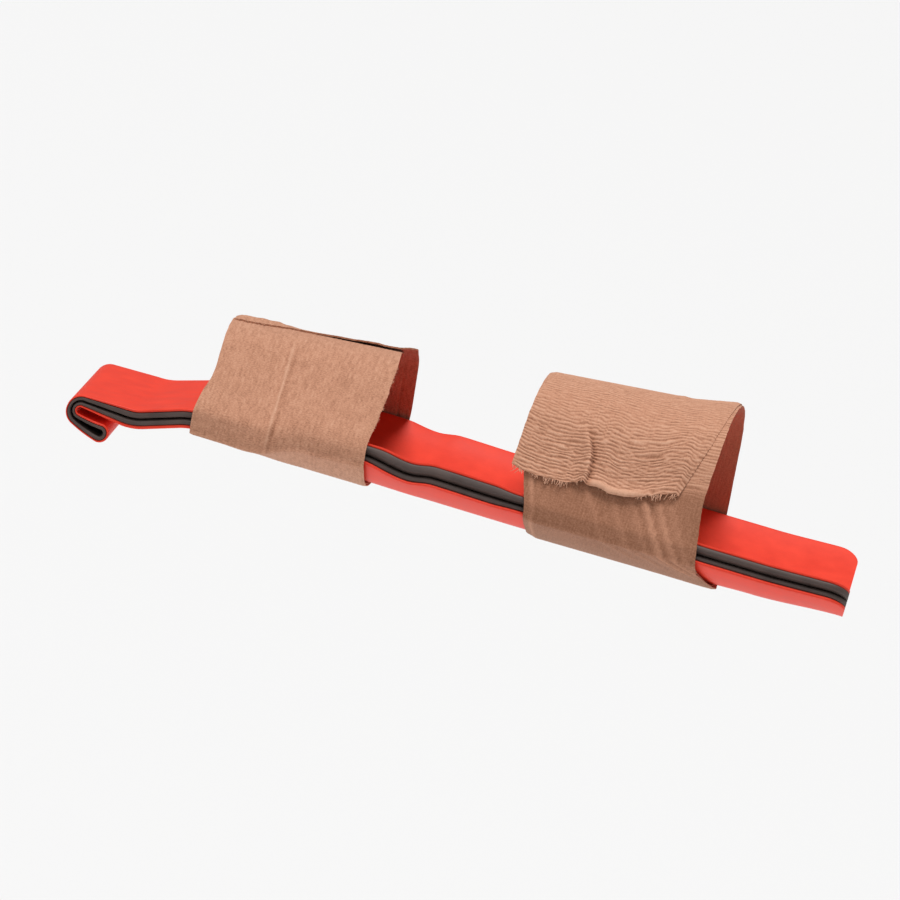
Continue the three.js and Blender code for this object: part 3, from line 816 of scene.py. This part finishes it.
def fold_away(t, x):
    """How far a place lies right of the fold line, and how strong the fold is there."""
    up = above_end(t)
    return x - rounded(FOLD_LINE, up, 1.5), falling(17, 31, up) * (t > 1.5)


def tension(t, x):
    """Slanting folds in the stretched lower part."""
    down = below_start(t)
    line = x - rounded(TENSION_LINE, down, 2)
    folds = sum(height * bump_line(line - off, np.where(line < off, TENSION_LEFT, TENSION_RIGHT))
                for off, height in TENSION_FOLDS)
    return folds * within(TENSION_REACH, down) * smooth(1.0, 1.02, t)


def elbow_relief(t, x):
    """Crepe ridges, coarse on the flap, finer above and pulled flat in the lower part, with a tone of painted
    light and
    shade: lighter on the ridges, the rolled hem, the fold's crest, the slanting folds and the ridge over the
    first turn's edge, darker in the valleys and in the pocket right of the fold, and darker over the lower
    part, partly as painted shade and partly for its thinner stretched weave."""
    s, up, down = t * ELBOW_ROUND, above_end(t), below_start(t)
    outer = smooth(0.97, 1.0, t)
    band = smooth(0.70, 0.78, t) * (1 - outer) * smooth(103, 107, x)
    near_end, top, coarse = falling(6, 58, up), falling(60, 120, up), falling(24, 56, up)
    plain = falling(50, 80, down)
    flap = coarse * crepe(x, s, *FLAP_CREPE) + (1 - coarse) * crepe(x, s, *TOP_CREPE)
    waves = np.where(band > 0, crepe(x, s, *BAND_CREPE), flap)
    roll = elbow_roll(t, x)
    amount = outer * (0.23 + 0.09 * top + 0.24 * near_end) * (1 - 0.92 * plain) * (1 - roll) + 0.22 * band
    shade_contrast = (outer * (0.66 + 0.12 * near_end) * (1 - 0.88 * plain) + 0.8 * band) * (1 - roll)
    away, strength = fold_away(t, x)
    # Painted shadow in the pocket right of the fold, where the ridges also stand higher, and a painted
    # highlight on the fold's crest
    fold_pocket_and_shadow = strength * bump_line(away - 1.3, 1.1)
    crest_highlight = strength * bump_line(away + 0.4, 0.8)
    rungs = 0.12 * plain * outer * smooth(108, 114, x) * crepe(x, s, *RUNG_CREPE)
    # Painted highlight on the ridge where this turn lies over the first turn's edge
    edge_ridge_highlight = within((1.0, 1.02, 1.25, 1.35), t) * bump_line(right_of_first_edge(t, x) - 0.6, 0.6)
    # The tone paints light and shade: darker in the valleys and the fold's pocket, lighter on the ridges, the
    # rolled hem, the crest, the slanting folds and the edge ridge; the lower part is darker, partly painted
    # shade and partly its thinner stretched weave
    tone = (0.5 + (waves - 0.5) * shade_contrast * 1.15 + 0.3 * roll + plain * outer * (0.28 * tension(t, x) - 0.38)
            - 0.4 * fold_pocket_and_shadow + 0.2 * crest_highlight + 0.3 * edge_ridge_highlight)
    return amount * waves * (1 + 0.5 * fold_pocket_and_shadow) + rungs, tone


def elbow_lift(t, x):
    """The fold, the wavy end, its hem and roll and the knot on the flap, and the folds in the lower part."""
    up = above_end(t)
    end = falling(0, 8, up)
    away, strength = fold_away(t, x)
    fold = np.where(away < 0, bump_line(away, FOLD_BACK),
                    1.25 * bump_line(away, FOLD_FRONT) - 0.25 * bump_line(away, FOLD_DIP))
    fold = FOLD_HEIGHT * fold * strength * (0.7 + 0.3 * smooth(0, 5, up))
    wave = 0.5 + 0.4 * ripple(x, 6, 41, row=0.7)
    hem = HEM_HEIGHT * within(HEMMED_END, x)
    roll = ROLL_HEIGHT * elbow_roll(t, x) * np.sin(math.pi * np.clip(up / ROLL_WIDTH, 0, 1)) ** 0.6
    knot = KNOT_HEIGHT * bump_line(x - KNOT_X, 2.4) * bump_line(up - KNOT_ROUND * ELBOW_ROUND, 5)
    flap = fold + (wave + hem) * end + roll + knot
    step = -STEP_DOWN * falling(-0.6, 0.5, right_of_first_edge(t, x)) * within((1.0, 1.02, 1.35, 1.45), t)
    return np.where(t > 1.5, flap, tension(t, x) + step)


elbow_turns = spaced([(0, 0.72, 60), (0.72, 1.0, 160), (1.0, 1.3, 95), (1.3, 1.62, 185), (1.62, 2.0, 388)])
elbow_wrap, elbow_outer = wound_sheet(
    "elbow_crepe_bandage", elbow_crepe, "elbow_bandage", elbow_turns, across_shares(54, 0.38, 1.5),
    ELBOW_START, elbow_edges, elbow_shift, elbow_relief, elbow_lift, ELBOW_ROUND)

# ---------------------------------------------------------------- frayed threads
THREAD_SIDES, THREAD_STEPS = 5, 7
THREAD_LEAN, THREAD_BEND, THREAD_RISE = 0.3, 0.55, 0.35
# The threads' tone lies above the cloth's middle: painted light on the threads
THREAD_LIT_TONE = 0.85
# How far a thread's root lies back in the cloth and below its face
ROOT_BACK, ROOT_BELOW = 0.5, 0.3
# Columns and rows counted back from an edge to a place in the cloth beside it
BESIDE_SIDE, BESIDE_END = -8, -6
# Turns between which the wrist bandage's right edge has threads
THREADED_TURNS = (1.07, 1.28)
# from, to, how many, shortest and longest: in turns along the side, and in x along the free ends
WRIST_SIDE_SPANS = [(1.08, 1.27, 46, 0.7, 1.3)]
WRIST_END_SPANS = [(-111, -86, 22, 0.8, 2.0), (-86, -28, 16, 0.6, 1.4)]
ELBOW_END_SPANS = [
    (31.8, 36, 8, 1.5, 3.5), (36, 47, 12, 1.0, 2.6), (47, 58, 26, 1.4, 3.8), (58, 64, 8, 0.8, 2.0),
    (68, 86, 5, 0.8, 1.6), (86, 96, 16, 1.0, 2.6), (96, 106.5, 18, 1.4, 4.2),
]


def fringe(name, material, roots, ways, normals, lengths, radius, seed):
    """Frayed threads as one mesh of thin tubes, each leaving the cloth at its root and curling as it goes."""
    rng = np.random.RandomState(seed)
    points, faces = [], []
    for root, way, normal, length in zip(roots, ways, normals, lengths):
        aside = np.cross(way, normal)
        lean = rng.uniform(-THREAD_LEAN, THREAD_LEAN)
        bend = rng.uniform(-THREAD_BEND, THREAD_BEND)
        rise = rng.uniform(0.0, THREAD_RISE)
        first = len(points)
        for i in range(THREAD_STEPS):
            f = i / (THREAD_STEPS - 1)
            centre = root + length * (way * f + aside * (lean * f + bend * f * f)
                                      + normal * rise * f * (1 - 0.6 * f))
            thin = radius * (1 - 0.4 * f)
            for k in range(THREAD_SIDES):
                angle = TAU * k / THREAD_SIDES
                points.append(centre + thin * (aside * math.cos(angle) + normal * math.sin(angle)))
        thread = tube_faces(THREAD_STEPS, THREAD_SIDES)
        faces += [[first + corner for corner in face] for face in thread]
    points = np.array(points)
    return make_piece(name, points, faces, material, [], smooth_angle=70,
                      uv=points[:, :2] / UV_UNIT, shade=np.full(len(points), THREAD_LIT_TONE))


def edge_threads(edge, inside, at, outward, spans, seed):
    """Roots, ways, normals and lengths of threads along an edge. 'inside' are places in the cloth beside it,
    'at' is what the spans go by, and 'outward' is 1 or -1."""
    rng = np.random.RandomState(seed)
    roots, ways, normals, lengths = [], [], [], []
    away = unit(edge - inside)
    facing = outward * unit(np.cross(away, np.gradient(edge, axis=0)))
    for low, high, count, short, long_ in spans:
        for place in rng.uniform(low, high, count):
            root, way, normal = (np.array([np.interp(place, at, grid[:, i]) for i in range(3)])
                                 for grid in (edge, away, facing))
            way, normal = unit(way), unit(normal)
            roots.append(root - ROOT_BACK * way - ROOT_BELOW * normal)
            ways.append(way)
            normals.append(normal)
            lengths.append(rng.uniform(short, long_))
    return roots, ways, normals, lengths


def end_threads(outer, spans, seed):
    """Threads along a bandage's free end, with spans in x."""
    return edge_threads(outer[-1], outer[BESIDE_END], outer[-1, :, 0], 1, spans, seed)


threaded = (wrist_turns > THREADED_TURNS[0]) & (wrist_turns < THREADED_TURNS[1])
wrist_side_threads = edge_threads(
    wrist_outer[threaded, -1], wrist_outer[threaded, BESIDE_SIDE], wrist_turns[threaded], -1,
    WRIST_SIDE_SPANS, 65)
wrist_end_threads = end_threads(wrist_outer, WRIST_END_SPANS, 63)
wrist_threads = [a + b for a, b in zip(wrist_end_threads, wrist_side_threads)]
elbow_fringe = fringe("elbow_bandage_fringe", elbow_crepe, *end_threads(elbow_outer, ELBOW_END_SPANS, 61),
                      radius=0.17, seed=62)
wrist_fringe = fringe("wrist_bandage_fringe", wrist_crepe, *wrist_threads, radius=0.15, seed=64)

# ---------------------------------------------------------------- camera
AZIMUTH, ELEVATION, ROLL = (math.radians(angle) for angle in (4, 9, 16.2))
DISTANCE = 2.6
PIXELS_PER_METRE = 2200
IMAGE_WIDTH = 900
SENSOR = 36
FAR_CLIP = 200
TARGET = np.array([0, 0, 0.0146])

back = np.array([math.sin(AZIMUTH) * math.cos(ELEVATION), -math.cos(AZIMUTH) * math.cos(ELEVATION),
                 math.sin(ELEVATION)])
level = np.array([math.cos(AZIMUTH), math.sin(AZIMUTH), 0])
upright = np.cross(back, level)
right = level * math.cos(ROLL) + upright * math.sin(ROLL)
up = upright * math.cos(ROLL) - level * math.sin(ROLL)
lens = bpy.data.cameras.new("camera")
lens.sensor_width = SENSOR
lens.lens = SENSOR * DISTANCE * PIXELS_PER_METRE / IMAGE_WIDTH
lens.clip_end = FAR_CLIP
camera = add_object("camera", lens)
rows = zip(right, up, back, TARGET + back * DISTANCE)
camera.matrix_world = Matrix([*rows, (0, 0, 0, 1)])
bpy.context.scene.camera = camera

# ---------------------------------------------------------------- floor and light
FLOOR_Z = -0.5
FLOOR_REACH = 60.0
FLOOR_COLOUR = (0.8, 0.8, 0.8, 1)
WORLD_COLOUR, WORLD_STRENGTH = (1.0, 0.995, 0.99, 1), 0.26

floor_mesh = bpy.data.meshes.new("floor")
corners = [(-1, -1), (1, -1), (1, 1), (-1, 1)]
floor_mesh.from_pydata([(x * FLOOR_REACH, y * FLOOR_REACH, FLOOR_Z) for x, y in corners], [], [(0, 1, 2, 3)])
floor_material, _, floor_shader = new_material("pale_floor", 0.9)
floor_shader.inputs["Base Color"].default_value = FLOOR_COLOUR
floor_mesh.materials.append(floor_material)
floor = add_object("floor", floor_mesh)

world = bpy.data.worlds.new("studio")
world.use_nodes = True
background = world.node_tree.nodes["Background"]
background.inputs["Color"].default_value = WORLD_COLOUR
background.inputs["Strength"].default_value = WORLD_STRENGTH
bpy.context.scene.world = world


def sun(name, energy, spread, azimuth, elevation):
    """A sun lamp, with its angles in degrees."""
    light = bpy.data.lights.new(name, "SUN")
    light.energy = energy
    light.angle = math.radians(spread)
    lamp = add_object(name, light)
    lamp.rotation_euler = (math.radians(90 - elevation), 0, math.radians(azimuth))


sun("key_light", energy=2.85, spread=26, azimuth=-25, elevation=84)
sun("fill_light", energy=0.25, spread=50, azimuth=-30, elevation=20)
bpy.context.scene.view_settings.view_transform = "Standard"
